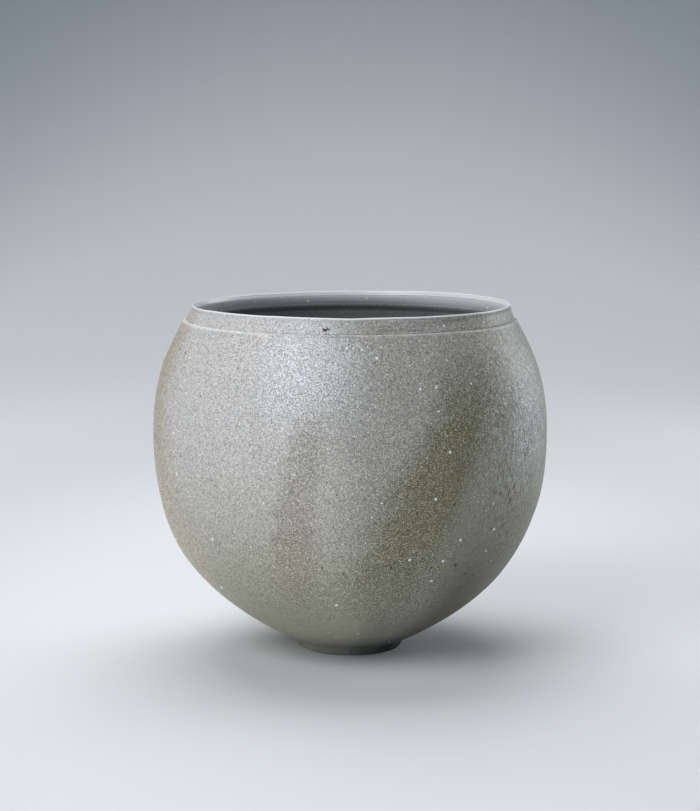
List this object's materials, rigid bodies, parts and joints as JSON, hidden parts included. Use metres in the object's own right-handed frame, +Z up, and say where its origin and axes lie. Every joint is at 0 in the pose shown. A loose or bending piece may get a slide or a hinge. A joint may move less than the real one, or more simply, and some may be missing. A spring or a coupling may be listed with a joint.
{
  "type": "stoneware jar",
  "caption": "Round-bellied stoneware jar with a wide mouth, a low inward-leaning collar, a thin uneven lip and a small turned foot ring; stands on a level surface and holds what is put in.",
  "frame": {"origin": "centre of the foot ring's ground face", "axes": "+Z up along the axis that the jar is turned around; the pictured side faces -Y"},
  "size_m": [0.4, 0.4, 0.353],
  "materials": {
    "body_stoneware": "dry speckled ash crust",
    "foot_stoneware": "smooth olive grey",
    "collar_stoneware": "dry speckled ash crust",
    "lip_stoneware": "pale, worn",
    "luting_slip": "matt"
  },
  "bodies": {
    "root": {"foot_ring": "foot_stoneware", "foot_slip": "luting_slip", "lower_bowl": "body_stoneware", "belly_slip": "luting_slip", "upper_bowl": "body_stoneware", "collar_slip": "luting_slip", "collar": "collar_stoneware", "lip": "lip_stoneware"}
  },
  "joints": []
}
